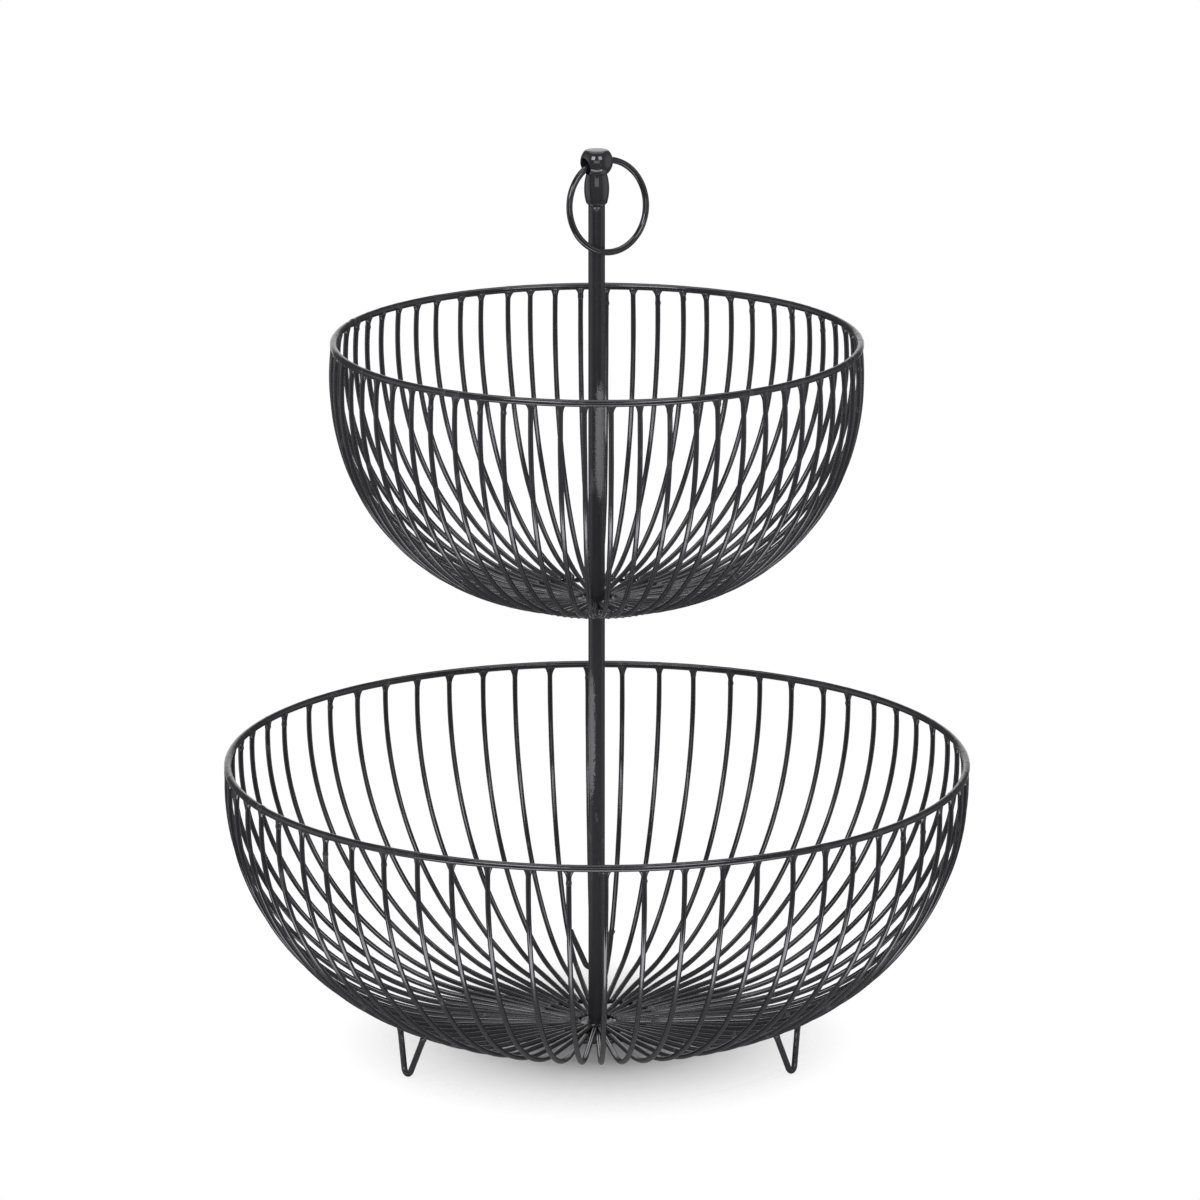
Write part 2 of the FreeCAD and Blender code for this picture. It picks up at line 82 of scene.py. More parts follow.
RIM_BEAD = 1.4 * MM
RIM_JOINT = 2.0 * MM
RIM_SWAY = 0.2 * MM
RIM_WARP = 0.15 * MM
RIB_LUMP = 0.8 * MM
HUB_RUN = 14 * MM
FOOT_LUMP = 1.9 * MM
FOOT_TIP = 1.2 * MM
POLE_EDGE = 0.4 * MM
BORE_FLARE = 0.35 * MM

# Shares of a wire's thickness

BEAD_SWELL, JOINT_SWELL = 0.05, 0.16
SLOW_WAVE, FAST_WAVE = 0.012, 0.01
RIB_RIPPLE, RIPPLES_PER_METRE = 0.02, 260
FOOT_SWELL, FOOT_SINK = 0.22, 0.8

# Paint: how much paler the ribs of a tier are, which on the upper ribs is a painted sheen for the bright
# floor they reflect, the bare patch on each pole, and the gloss of the paint

RIB_PAINTED_SHEEN_LIFT = {"lower": 0.0, "upper": 0.5}
PATCHES = {
    "lower": {"height": 0.154, "reach": 0.034, "bearing": math.radians(-135), "width": 0.0026},
    "upper": {"height": 0.3, "reach": 0.031, "bearing": math.radians(-64), "width": 0.003},
}
PAINT_IOR = 1.6
PAINT_GLOSS_TINT = (0.965, 0.94, 1, 1)

# Lamps: name, place, aim, width, height and watts; the last is under the floor, for stripes in gloss

LAMPS = (
    ("overhead", (0, 0.35, 2.2), (0, 0, 0.1), 1.8, 1.8, 9),
    ("front_left", (-1.25, -2.35, 2.1), (0, 0, 0.25), 1.3, 1.3, 20),
    ("front_right", (1.25, -2.35, 2.1), (0, 0, 0.25), 1.3, 1.3, 15),
    ("front_wide", (0, -2.7, 0.75), (0, 0, 0.25), 1.9, 0.9, 4),
    ("under_table", (0, -0.42, -0.3), (0, -0.41, 0.2), 1.1, 0.24, 1.9),
)

# What gloss shows: where each white panel begins and is full, as shares of a direction, and its strength

BACKDROP = (0.9, 0.97)
SIDE_PANELS = (0.75, 0.95)
LEFT_STRENGTH, RIGHT_STRENGTH = 0.4, 0.3
TABLE = (0.66, 0.82)
TABLE_STRENGTH = 0.5

# Distances from the axis over which the floor fades, for the eye and in gloss, and how far gloss darkens
# it, a painted shadow under the basket

FLOOR_FADE = (0.04, 0.125)
FLOOR_FADE_IN_GLOSS = (0.168, 0.183)
FLOOR_PAINTED_SHADOW_IN_GLOSS = 0.65
SENSOR_WIDTH = 36
BLACK = (0, 0, 0, 1)
WHITE = (1, 1, 1, 1)


# Sizes read from the frame


def low(node, axis):
    """Lowest coordinate of a CAD node along one axis."""
    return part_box(node)[0][axis]


def high(node, axis):
    """Highest coordinate of a CAD node along one axis."""
    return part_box(node)[1][axis]


def middle(node, axis):
    """Coordinate half-way through a CAD node along one axis."""
    return (low(node, axis) + high(node, axis)) / 2


def cad_points(node):
    """Points of a CAD node's mesh."""
    return np.array([vertex.co for vertex in frame["nodes"][node].data.vertices])


# Settings that a user would change


def length(name, description, default):
    """Length in metres."""
    return FloatProperty(
        name=name, description=description, default=default, min=0, unit="LENGTH", precision=5
    )


def degrees(name, description, default):
    """Angle, given in degrees and kept in radians."""
    return FloatProperty(
        name=name, description=description, default=math.radians(default), subtype="ANGLE"
    )


def share(name, description, default):
    """Plain number, mostly between none and all."""
    return FloatProperty(name=name, description=description, default=default, subtype="FACTOR")


def tint(name, description, default):
    """Linear colour."""
    return FloatVectorProperty(
        name=name, description=description, default=default, subtype="COLOR", min=0, max=1
    )


class BasketWires(bpy.types.PropertyGroup):
    """Wire sizes and the lines of the two bowls."""

    rim_wire: length("Rim wire", "Thickness of the rim wire", 3.25 * MM)
    rib_wire: length("Rib wire", "Thickness of the rib wire", 2.3 * MM)
    hoop_wire: length("Hoop wire", "Thickness of the hoop wire", 1.9 * MM)
    foot_wire: length("Foot wire", "Thickness of the foot wire", 2.9 * MM)
    ring_wire: length("Ring wire", "Thickness of the carrying ring", 2.9 * MM)
    ribs: IntProperty(
        name="Ribs", description="Ribs in each bowl, every second one long", default=62, min=8
    )
    rib_gap: length("Rib gap", "Gap between neighbouring long ribs at their inner ends", 0.15 * MM)
    coat: length("Paint coat", "Thickness of the paint on the wires", 0.1 * MM)
    split: degrees("Bend split", "Slope where wall bend meets floor bend", 70)
    lower_edge: length("Lower edge", "Where the straight run of the lower ribs ends", 70 * MM)
    lower_dish: degrees("Lower dish", "Slope of the straight run of the lower ribs", 5)
    lower_lean: degrees("Lower lean", "Inward lean of the lower ribs at the rim", 3.7)
    lower_turn: degrees("Lower turn", "Turn of the lower ribs from straight back", 0)
    lower_tail: length("Lower tail", "How far the lower short ribs reach in past their hoop", 4.5 * MM)
    upper_edge: length("Upper edge", "Where the straight run of the upper ribs ends", 35.5 * MM)
    upper_dish: degrees("Upper dish", "Slope of the straight run of the upper ribs", 6)
    upper_lean: degrees("Upper lean", "Inward lean of the upper ribs at the rim", 7)
    upper_turn: degrees("Upper turn", "Turn of the upper ribs from straight back", 2)
    upper_tail: length("Upper tail", "How far the upper short ribs reach in past their hoop", 2 * MM)
    foot_radius: length("Foot circle", "Middle of the feet on the floor from the axis", 109 * MM)
    foot_bend: length("Foot bend", "Bend radius of the hairpin", 3.2 * MM)
    foot_splay: degrees("Foot splay", "Outward splay of the feet", 8)


class BasketTop(bpy.types.PropertyGroup):
    """Sizes of the turned finial."""

    ball: length("Ball", "Radius of the ball", 7.8 * MM)
    neck: length("Neck", "Radius where the ball meets the collar", 5 * MM)
    flat: length("Flat", "Radius of the flat on top of the ball", 5.5 * MM)
    collar_edge: length("Collar edge", "Radius of the collar above its lip", 5.15 * MM)
    collar_lip: length("Collar lip", "Height of the flared lip under the collar", 1.5 * MM)
    collar_bulge: length("Collar bulge", "Radius of the barrel curve of the collar", 25 * MM)
    soft_edge: length("Soft edge", "Rounding of the turned edges", 0.5 * MM)


class BasketHandwork(bpy.types.PropertyGroup):
    """Unevenness and braze that a hand-made basket has."""

    spacing: share("Spacing", "Uneven rib spacing as a share of the pitch", 0.045)
    sway: length("Sway", "How far a rib may bow sideways", 0.5 * MM)
    gusset_width: length("Gusset width", "How far braze spreads along the rim beside a rib", 1.25 * MM)
    gusset_height: length("Gusset height", "How far braze reaches down a rib", 3.9 * MM)
    bead: share("Bead", "Height of braze beads as a share of the wire's radius", 0.3)
    run_in: length("Run-in", "How far the ends of the long ribs run together under the braze", 2.6 * MM)
    weld_angle_lower: degrees("Lower rim joint", "Where the ends of the lower rim's wire meet", 206)
    weld_angle_upper: degrees("Upper rim joint", "Where the ends of the upper rim's wire meet", 158)


class BasketFinish(bpy.types.PropertyGroup):
    """Colours of the paint and of what shows through it."""

    paint_dark: tint("Paint, dark", "Deep tone of the charcoal paint", (0.006, 0.0057, 0.0065))
    paint_pale: tint("Paint, pale", "Pale tone of the charcoal paint", (0.026, 0.0245, 0.0284))
    rubbed: tint("Rubbed", "Paint that is rubbed thin", (0.16, 0.16, 0.165))
    braze: tint("Braze", "Metal of the braze on the hubs", (0.4, 0.39, 0.41))
    steel: tint("Steel", "Zinc-plated screw and studs", (0.52, 0.52, 0.53))


class BasketStage(bpy.types.PropertyGroup):
    """Camera and light."""

    distance: length("Camera distance", "Level distance of the camera from the axis", 3490.7 * MM)
    height: length("Camera height", "Height of the camera above the floor", 1144.2 * MM)
    pitch: degrees("Camera pitch", "How far the camera looks down", 14.816)
    azimuth: degrees("Camera azimuth", "How far the camera stands to the left of straight ahead", 1.45)
    lens: FloatProperty(
        name="Lens", description="Focal length in millimetres", default=225.4, min=1, unit="CAMERA"
    )
    shift: share("Shift", "Sideways shift of the picture", 0.0028)
    floor_tone: tint("Floor", "Colour of the floor", (0.95, 0.95, 0.955))
    floor_half: length("Floor half", "Half the side of the floor", 1.2)
    room: share("Room", "Light from the room on all sides", 0.5)
    dim: share("Dim", "What gloss shows of the room away from the white panels", 0.11)


def wires():
    """Settings of the wires."""
    return bpy.context.scene.basket_wires


def top_sizes():
    """Settings of the finial."""
    return bpy.context.scene.basket_top


def handwork():
    """Settings of the handwork."""
    return bpy.context.scene.basket_handwork


def finish():
    """Settings of the colours."""
    return bpy.context.scene.basket_finish


def stage():
    """Settings of camera and light."""
    return bpy.context.scene.basket_stage


# Meshes from arrays


def signed_volume(points, quads):
    """Six times the volume inside the quads, negative where they face inwards."""
    a, b, c, d = (points[quads[:, corner]] for corner in range(4))
    return np.sum(a * np.cross(b, c)) + np.sum(a * np.cross(c, d))


def skin(name, grid, ring=False, caps=False, braze=None):
    """Mesh object from tubes given as an array of (tube, row, column, xyz).

    Columns run round each tube and always close. Rows run along it: with ring they close too,
    and with caps the first and the last row are each closed by one face.
    """
    count, rows, columns, _ = grid.shape
    points = grid.reshape(-1, 3)
    index = np.arange(len(points)).reshape(count, rows, columns)
    beside = np.roll(index, -1, axis=2)
    if ring:
        near, far = index, np.roll(index, -1, axis=1)
        near_beside, far_beside = beside, np.roll(beside, -1, axis=1)
    else:
        near, far = index[:, :-1], index[:, 1:]
        near_beside, far_beside = beside[:, :-1], beside[:, 1:]
    quads = np.stack([near, near_beside, far_beside, far], axis=-1).reshape(-1, 4)
    ends = [index[:, 0, ::-1], index[:, -1]] if caps else []
    if signed_volume(points, quads) < 0:
        quads = quads[:, ::-1]
        ends = [end[:, ::-1] for end in ends]
    faces = quads.tolist() + [face for end in ends for face in end.tolist()]
    mesh = bpy.data.meshes.new(name)
    mesh.from_pydata(points.tolist(), [], faces)
    mesh.shade_smooth()
    if braze is not None:
        layer = mesh.attributes.new("braze", "FLOAT", "POINT")
        layer.data.foreach_set("value", np.ascontiguousarray(braze, dtype=np.float32).ravel())
    mesh.update()
    thing = bpy.data.objects.new(name, mesh)
    bpy.context.scene.collection.objects.link(thing)
    return thing


def dress(thing, material, body, *nodes):
    """Give a piece its finish, let it ride on a body and stand for CAD nodes."""
    thing.data.materials.append(material)
    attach(thing, body)
    if nodes:
        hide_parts(*nodes)


def repaint(node, material):
    """Give a CAD node that stays in view another finish."""
    finishes = frame["nodes"][node].data.materials
    finishes.clear()
    finishes.append(material)


def around(steps):
    """Angles of one full turn, without the last that would repeat the first."""
    return np.arange(steps) * (TURN / steps)


def bell(distance, width):
    """Bell curve: e to the power of less the square of distance over width."""
    return np.exp(-((distance / width) ** 2))


def turned(level, side, up, angle):
    """Points so far from the axis, so far sideways and so high, turned about the axis by an angle."""
    x = level * np.cos(angle) - side * np.sin(angle)
    y = level * np.sin(angle) + side * np.cos(angle)
    return np.stack([x, y, up], axis=-1)


def hoop_grid(radius, height, thick, along, section):
    """Level hoop: a circle of that section radius carried round a circle about the axis.

    Radius, height and thick may change with the angle along the hoop, as columns of an array.
    """
    out = radius + thick * np.cos(section)
    up = height + thick * np.sin(section)
    place = [out * np.cos(along), out * np.sin(along), up + 0 * along]
    return np.stack(place, axis=-1)[None]


def lathe_grid(profile, sides):
    """Turned shape: a profile of (radius, height) rows carried round the axis."""
    angle = around(sides)[None, :]
    radius = profile[:, :1]
    height = profile[:, 1:] + 0 * angle
    return np.stack([radius * np.cos(angle), radius * np.sin(angle), height], axis=-1)[None]


def arc(centre, radius, first, last, steps):
    """Points of an arc between two angles, as (across, up) rows."""
    angle = np.linspace(first, last, steps)[:, None]
    return np.asarray(centre) + radius * np.hstack([np.cos(angle), np.sin(angle)])


# Lines of a bowl


class Bowl:
    """Measures of one bowl, worked out from the frame and the settings."""

    def __init__(self, tier):
        setting = wires()
        self.tier = tier
        self.wire = setting.rib_wire / 2
        self.rim_wire = setting.rim_wire / 2
        self.coat = setting.coat
        self.rim_height = middle(tier + "_rim", 2)
        self.rim_radius = high(tier + "_rim", 0) - self.rim_wire
        self.plate_top = high(tier + "_hub_plate", 2)
        self.edge = getattr(setting, tier + "_edge")
        self.dish = getattr(setting, tier + "_dish")
        self.lean = getattr(setting, tier + "_lean")
        self.split = setting.split
        self.count = setting.ribs
        self.back = math.pi / 2 + getattr(setting, tier + "_turn")
        self.long_end = (setting.rib_wire + setting.rib_gap) / TURN * self.count / 2
        hoop_radius = high(tier + "_hoop", 0) - setting.hoop_wire / 2
        self.short_end = hoop_radius - getattr(setting, tier + "_tail")
        self.rib_top = self.rim_height - self.rim_wire
        hub_height = low(tier + "_long_ribs", 2) + self.wire * math.cos(self.dish)
        self.edge_height = hub_height + (self.edge - self.long_end) * math.tan(self.dish)
        self.wall, self.floor = self.bends()

    def bends(self):
        """Radii of wall and floor bend from the drop and run that they share out."""
        across = [math.cos(self.lean) - math.sin(self.split), math.sin(self.split) - math.sin(self.dish)]
        down = [math.cos(self.split) + math.sin(self.lean), math.cos(self.dish) - math.cos(self.split)]
        drop = self.rib_top - self.edge_height
        run = self.rim_radius - self.edge
        return np.linalg.solve([down, across], [drop, run])

    def angles(self):
        """Angle of each rib, evenly spaced but for the maker's hand."""
        most = 0.1
        draw = np.random.default_rng(SEEDS[self.tier])
        uneven = np.clip(draw.normal(0, handwork().spacing, self.count), -most, most)
        return self.back + (np.arange(self.count) + uneven) * (TURN / self.count)

    def rib_length(self, inner):
        """Lengths of straight run, floor bend and wall bend of a rib, and its slope at the inner end."""
        rise = max(self.dish, math.asin((inner - self.edge) / self.floor + math.sin(self.dish)))
        straight = max(0, self.edge - inner) / math.cos(self.dish)
        wall = self.wall * (math.pi / 2 + self.lean - self.split)
        return straight, self.floor * (self.split - rise), wall, rise

    def rib_line(self, inner, along):
        """Rib's middle at distances from its inner end: radius, height and slope.

        A straight run that climbs from the hub, then an arc up to the split slope, then a second arc
        to the rim, and past its end straight on.
        """
        straight, floor, wall, rise = self.rib_length(inner)
        short_of = np.minimum(along - straight, 0)
        slope = rise + np.clip(along - straight, 0, floor) / self.floor
        steep = self.split + np.clip(along - straight - floor, 0, wall) / self.wall
        beyond = np.maximum(along - straight - floor - wall, 0)
        top = self.split + wall / self.wall
        radius = (
            self.edge + short_of * math.cos(self.dish)
            + self.floor * (np.sin(slope) - math.sin(self.dish))
            + self.wall * (np.sin(steep) - math.sin(self.split)) + beyond * math.cos(top)
        )
        height = (
            self.edge_height + short_of * math.sin(self.dish)
            + self.floor * (math.cos(self.dish) - np.cos(slope))
            + self.wall * (math.cos(self.split) - np.cos(steep)) + beyond * math.sin(top)
        )
        return radius, height, slope + steep - self.split


# Shader maths


class Shade:
    """A node socket that takes part in sums and products."""

    def __init__(self, tree, socket=None):
        self.tree = tree
        self.socket = socket

    def add(self, kind, settings=None, sockets=None, output=0):
        """New node of a kind: its settings first, then the values or links of its sockets."""
        node = self.tree.nodes.new(kind)
        for key, setting in (settings or {}).items():
            if key == "stops":
                for stop, (position, tone) in zip(node.color_ramp.elements, setting):
                    stop.position = position
                    stop.color = (tone, tone, tone, 1)
            else:
                setattr(node, key, setting)
        for key, entry in (sockets or {}).items():
            if isinstance(entry, Shade):
                self.tree.links.new(entry.socket, node.inputs[key])
            else:
                node.inputs[key].default_value = entry
        return Shade(self.tree, node.outputs[output] if node.outputs else None)

    def maths(self, operation, first, second):
        """Math node of two values."""
        return self.add("ShaderNodeMath", {"operation": operation}, {0: first, 1: second})

    def __add__(self, other):
        return self.maths("ADD", self, other)

    def __radd__(self, other):
        return self.maths("ADD", other, self)

    def __sub__(self, other):
        return self.maths("SUBTRACT", self, other)

    def __rsub__(self, other):
        return self.maths("SUBTRACT", other, self)

    def __mul__(self, other):
        return self.maths("MULTIPLY", self, other)

    def __rmul__(self, other):
        return self.maths("MULTIPLY", other, self)

    def axes(self, kind):
        """The x, y and z of one kind of texture coordinates."""
        place = self.add("ShaderNodeTexCoord", output=kind)
        return [self.add("ShaderNodeSeparateXYZ", {}, {"Vector": place}, output=axis) for axis in "XYZ"]

    def noise(self, scale, detail, stretch=(1, 1, 1)):
        """Noise on object coordinates, so many to the metre."""
        place = self.add("ShaderNodeTexCoord", output="Object")
        if stretch != (1, 1, 1):
            place = self.add("ShaderNodeMapping", {}, {"Vector": place, "Scale": stretch})
        return self.add("ShaderNodeTexNoise", {}, {"Vector": place, "Scale": scale, "Detail": detail})

    def ramp(self, entry, start, end):
        """Nothing below start, all above end."""
        stops = [(start, 0), (end, 1)]
        return self.add("ShaderNodeValToRGB", {"stops": stops}, {"Fac": entry})

    def blend(self, amount, first, second):
        """Mix of two colours."""
        sockets = {"Factor": amount, "A": first, "B": second}
        return self.add("ShaderNodeMix", {"data_type": "RGBA"}, sockets, output="Result")

    def bump(self, strength, distance, height):
        """Fine relief for a surface's normal."""
        sockets = {"Strength": strength, "Distance": distance, "Height": height}
        return self.add("ShaderNodeBump", {}, sockets)

    def surface(self, sockets):
        """Principled surface, and the material's output for it."""
        result = self.add("ShaderNodeBsdfPrincipled", {}, sockets)
        self.add("ShaderNodeOutputMaterial", {}, {"Surface": result})


def new_material(name):
    """Empty node material and its shade."""
    material = bpy.data.materials.new(name)
    material.use_nodes = True
    material.node_tree.nodes.clear()
    return material, Shade(material.node_tree)


def colour(tone):
    """Tone with full cover."""
    return (*tone, 1)


def rubbed_patch(shade, grain, height, reach, bearing, width):
    """Bare patch on a bar: an oval round a height and a line on one side, frayed by the grain.

    The oval is one less the square of the share of the width and the fourth power of the share of the
    reach, and the grain is added to it.
    """
    x, y, z = shade.axes("Object")
    facing = shade.maths("GREATER_THAN", x * math.cos(bearing) + y * math.sin(bearing), 0)
    across = (y * math.cos(bearing) - x * math.sin(bearing)) * (1 / width)
    up = (z - height) * (1 / reach)
    oval = 1 - across * across - up * up * up * up + (grain - 0.5) * 2.6
    return shade.ramp(oval, 0.3, 0.55) * facing


def painted_iron(name, gloss=0.1, lift=0.0, bare=0.25, worn="rubbed", patch=None):
    """Charcoal paint on iron: brushed tone, fine grain, rubbed specks, and bare braze and patches.

    Tone and wear are sums of noises of many sizes. Lift makes the tone paler, or darker below nothing;
    on the upper ribs it is a painted sheen and on the hub plates a painted shade. Bare is the share of
    the braze that shows, and worn names the colour that comes through.
    """
    material, shade = new_material(name)
    broad = shade.noise(42, 3)
    mottle = shade.noise(260, 4)
    grain = shade.noise(1500, 2)
    specks = shade.ramp(shade.noise(620, 3), 0.66, 0.76)
    scuffs = shade.ramp(shade.noise(190, 4, (1, 1, 0.3)), 0.63, 0.7)
    braze = shade.add("ShaderNodeAttribute", {"attribute_name": "braze"}, output="Fac")
    tone = broad * 0.5 + mottle * 0.35 + grain * 0.15 + lift
    rub = specks * 0.1 + scuffs * grain * 0.6 + braze * mottle * bare
    if patch:
        rub = rub + rubbed_patch(shade, grain, **patch) * (0.75 + grain)
    paint = shade.blend(tone, colour(finish().paint_dark), colour(finish().paint_pale))
    shade.surface({
        "Base Color": shade.blend(rub, paint, colour(getattr(finish(), worn))),
        "Roughness": gloss + mottle * 0.06 + rub * 0.3,
        "Normal": shade.bump(0.04, 0.12 * MM, mottle * 0.6 + grain * 0.4),
        "IOR": PAINT_IOR,
        "Specular IOR Level": 1.0,
        "Specular Tint": PAINT_GLOSS_TINT,
    })
    return material


def zinc_steel(name):
    """Plain plated steel with a fine turned grain."""
    material, shade = new_material(name)
    cloud = shade.noise(180, 3)
    grain = shade.noise(1, 2, (300, 300, 5200))
    shade.surface({
        "Base Color": shade.blend(cloud * 0.6, colour(finish().steel), colour(finish().rubbed)),
        "Roughness": 0.3 + grain * 0.2,
        "Metallic": 1.0,
        "Normal": shade.bump(0.3, 0.05 * MM, grain),
    })
    return material


# Pieces


def rim(bowl, material):
    """Rim: a wire circle with a low bead over each rib and a lump where its ends meet.

    Its thickness is the wire's, times one plus a bell curve at each rib, of a height of its own, a
    higher one at the joint, and a slow and a fast wave. Two more waves keep it from a perfect circle.
    """
    along = around(RIM_STEPS)[:, None]
    section = around(RIM_SIDES)[None, :]
    draw = np.random.default_rng(SEEDS[bowl.tier] + 1)
    gap = (along - bowl.angles()[None, :] + math.pi) % TURN - math.pi
    bells = bell(gap * bowl.rim_radius, RIM_BEAD) * draw.uniform(0, 1, bowl.count)
    beads = bells.sum(axis=1, keepdims=True)
    weld = getattr(handwork(), "weld_angle_" + bowl.tier)
    joint = bell((along - weld) * bowl.rim_radius, RIM_JOINT)
    swell = BEAD_SWELL * beads + JOINT_SWELL * joint
    wave = SLOW_WAVE * np.sin(9 * along + 1) + FAST_WAVE * np.sin(31 * along)
    thick = (bowl.rim_wire + bowl.coat) * (1 + swell + wave + 0 * section)
    radius = bowl.rim_radius + RIM_SWAY * np.sin(3 * along + 1)
    height = bowl.rim_height + RIM_WARP * np.sin(2 * along) + 0 * section
    grid = hoop_grid(radius, height, thick, along, section)
    braze = np.broadcast_to(np.clip(beads + joint, 0, 1), thick.shape)
    thing = skin(bowl.tier + "_rim_wire", grid, ring=True, braze=braze)
    dress(thing, material, STAND, bowl.tier + "_rim")


def ribs(bowl, kind, first, inner, material):
    """Every second rib: a wire along the rib line, flared by braze under the rim.

    The section is an ellipse across the line. Towards the top each half of it widens with the
    square of the share of the gusset's height, to a width of its own. About a third of the ribs have
    a lump of braze, a bell curve along the wire. Half a wave and a whole wave bow each rib sideways.
    The braze is marked there, and as half a bell curve from the inner end.
    """
    hand = handwork()
    angle = bowl.angles()[first::2, None, None]
    each = (len(angle), 1, 1)
    draw = np.random.default_rng(SEEDS[bowl.tier] + 2 + first)
    whole = sum(bowl.rib_length(inner)[:3])
    rounding = bowl.wire * np.array([0, 0.12, 0.4, 1])
    below = np.linspace(1, 0, GUSSET_STEPS) ** 1.3 * 2.2 * hand.gusset_height
    stem = np.linspace(rounding[-1], whole - below[0], STEM_STEPS)[1:-1]
    in_rim = whole + 0.8 * bowl.rim_wire
    line = np.concatenate([rounding, stem, whole - below, [in_rim]])
    radius, height, slope = (part[None, :, None] for part in bowl.rib_line(inner, line))
    along = line[None, :, None]
    section = around(RIB_SIDES)[None, None, :]

    dome = np.clip(1 - (1 - along / bowl.wire) ** 2, 0.1, 1)
    blunt = np.sqrt(np.where(along < bowl.wire, dome, 1))
    reach = hand.gusset_height * draw.uniform(0.7, 1.25, each)
    near = np.clip(1 - (whole - along) / reach, 0, 1.05) ** 2
    right = hand.gusset_width * draw.uniform(0.45, 1.3, each)
    left = hand.gusset_width * draw.uniform(0.45, 1.3, each)
    lump_at = whole - hand.gusset_height * draw.uniform(0.5, 1.9, each)
    lump = draw.choice([0, 0, 1], each) * hand.bead
    lump = lump * bell(along - lump_at, RIB_LUMP)
    phase = draw.uniform(0, TURN, each)
    ripple = RIB_RIPPLE * np.sin(along * RIPPLES_PER_METRE + phase)
    uneven = 1 + ripple + lump * (0.6 + 0.4 * np.cos(section + phase))
    thick = (bowl.wire + bowl.coat) * blunt * uneven
    across = np.cos(section)
    side = thick * across + near * np.where(across > 0, right, left) * across
    out = (thick + 0.3 * near * hand.gusset_width) * np.sin(section)

    bow = np.sin(math.pi * along / whole) * draw.normal(0, 0.5, each)
    curl = np.sin(TURN * along / whole) * draw.normal(0, 0.3, each)
    side = side + hand.sway * (bow + curl)
    level = radius + out * np.sin(slope)
    up = height - out * np.cos(slope) + 0 * side
    hub_end = bell(along, HUB_RUN)
    braze = np.clip(near + lump * 2 + hub_end + 0 * section, 0, 1)
    name = "%s_%s_rib" % (bowl.tier, kind)
    thing = skin(name + "_wires", turned(level, side, up, angle), caps=True, braze=braze)
    dress(thing, material, STAND, name + "s")


def hoop(bowl, material):
    """Hoop under the ribs: a wire circle that swells with braze at every rib.

    The swelling is the eighth power of a cosine with half as many waves as there are ribs.
    """
    node = bowl.tier + "_hoop"
    thin = wires().hoop_wire / 2
    along = around(HOOP_STEPS)[:, None]
    section = around(HOOP_SIDES)[None, :]
    bead = np.cos((along - bowl.back) * bowl.count / 2) ** 8
    thick = (thin + bowl.coat) * (1 + handwork().bead * bead + 0 * section)
    grid = hoop_grid(high(node, 0) - thin, middle(node, 2) + 0 * section, thick, along, section)
    thing = skin(node + "_wire", grid, ring=True, braze=np.broadcast_to(0.6 * bead, thick.shape))
    dress(thing, material, STAND, node)


def hub(bowl, material):
    """Braze on the hub: lumps of many sizes between the pole and the ends of the long ribs.

    Height over the plate is the highest of a fillet at the pole and of bell curves, each with a
    place, a width and a height of its own; most lie to the left and right of the pole. The lumps
    sink into the plate a little, and their underside is level inside it.
    """
    sink, buried, bare_height = 0.12 * MM, 0.6 * MM, 0.9 * MM
    fillet_height, fillet_run = 0.4 * MM, 0.8 * MM
    draw = np.random.default_rng(SEEDS[bowl.tier] + 5)
    pole_radius = high(bowl.tier + "_pole", 0)
    bearing = draw.choice([0, math.pi], HUB_LUMPS) + draw.normal(0, 0.9, HUB_LUMPS)
    out = draw.uniform(pole_radius + 0.6 * MM, bowl.long_end + 2.2 * MM, HUB_LUMPS)
    wide = draw.uniform(0.5, 1.25, HUB_LUMPS) * MM
    tall = draw.uniform(0.35, 1.5, HUB_LUMPS) * MM
    along = around(HUB_SIDES)[None, :]
    radius = np.linspace(pole_radius - 0.3 * MM, bowl.long_end + 3.1 * MM, HUB_ROWS)[:, None]
    x, y = radius * np.cos(along), radius * np.sin(along)
    away = (x[..., None] - out * np.cos(bearing)) ** 2 + (y[..., None] - out * np.sin(bearing)) ** 2
    bells = (tall * np.exp(-away / wide ** 2)).max(axis=-1)
    fillet = fillet_height * np.exp(-(radius - pole_radius) / fillet_run) + 0 * along
    top = np.maximum(bells, fillet) - sink
    under = bowl.plate_top - buried + 0 * along
    height = np.concatenate([bowl.plate_top + top, under, under])
    rows = [np.concatenate([part, part[-1:], part[:1]]) for part in (x, y)]
    braze = np.concatenate([np.clip(bells / bare_height, 0, 1), 0 * under, 0 * under])
    grid = np.stack([*rows, height], axis=-1)[None]
    thing = skin(bowl.tier + "_hub_braze", grid, ring=True, braze=braze)
    dress(thing, material, STAND)


